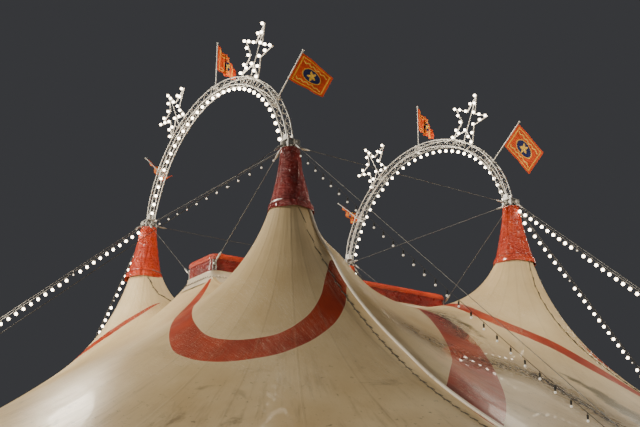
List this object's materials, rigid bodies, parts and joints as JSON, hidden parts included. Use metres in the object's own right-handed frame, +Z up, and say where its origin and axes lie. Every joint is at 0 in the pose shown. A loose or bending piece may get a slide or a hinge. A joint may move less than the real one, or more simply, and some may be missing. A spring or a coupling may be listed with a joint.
{
  "type": "circus big top tent",
  "caption": "Round circus tent on lattice masts, with peak caps, a ridge cupola, lit lattice arches carrying stars and flags, stay cables, guys and a curtain wall.",
  "frame": {"origin": "on the ground at the middle of the tent", "axes": "+X along the arches and the tie cables under them, towards the east side; +Y along the ridge cupola; +Z up; the doorway faces -Y"},
  "size_m": [38.16, 37.86, 17.6825],
  "materials": {
    "steel": "galvanised, dull",
    "cable": "wire rope",
    "sail": "coated, weathered sheen",
    "curtain": "coated, satin",
    "red_cover": "coated, glossy",
    "orange_cover": "coated, satin",
    "white_steel": "painted, worn",
    "flag": "woven, matt"
  },
  "bodies": {
    "root": {"mast_southeast": "steel", "mast_southwest": "steel", "mast_northeast": "steel", "mast_northwest": "steel", "sail_southeast": "sail", "sail_southwest": "sail", "sail_northeast": "sail", "sail_northwest": "sail", "cap_southeast": "red_cover", "cap_southwest": "red_cover", "cap_northeast": "red_cover", "cap_northwest": "red_cover", "arch_south": "white_steel", "star_southeast": "white_steel", "star_southwest": "white_steel", "flag_south_east": "flag", "flag_south_middle": "flag", "flag_south_west": "flag", "arch_north": "white_steel", "star_northeast": "white_steel", "star_northwest": "white_steel", "flag_north_east": "flag", "flag_north_middle": "flag", "flag_north_west": "flag", "cupola_collar": "sail", "cupola_wall": "red_cover", "cupola_roof": "orange_cover", "cupola_stay_southeast": "cable", "cupola_stay_southwest": "cable", "cupola_stay_northeast": "cable", "cupola_stay_northwest": "cable", "tie_south": "cable", "tie_north": "cable", "tie_west": "cable", "tie_east": "cable", "guy_southeast_side": "cable", "guy_southwest_side": "cable", "guy_northeast_side": "cable", "guy_northwest_side": "cable", "guy_southeast_end": "cable", "guy_southwest_end": "cable", "guy_northeast_end": "cable", "guy_northwest_end": "cable", "side_wall_southeast": "curtain", "side_wall_northeast": "curtain", "side_wall_northwest": "curtain", "side_wall_southwest": "curtain", "doorway_header": "curtain"}
  },
  "joints": []
}
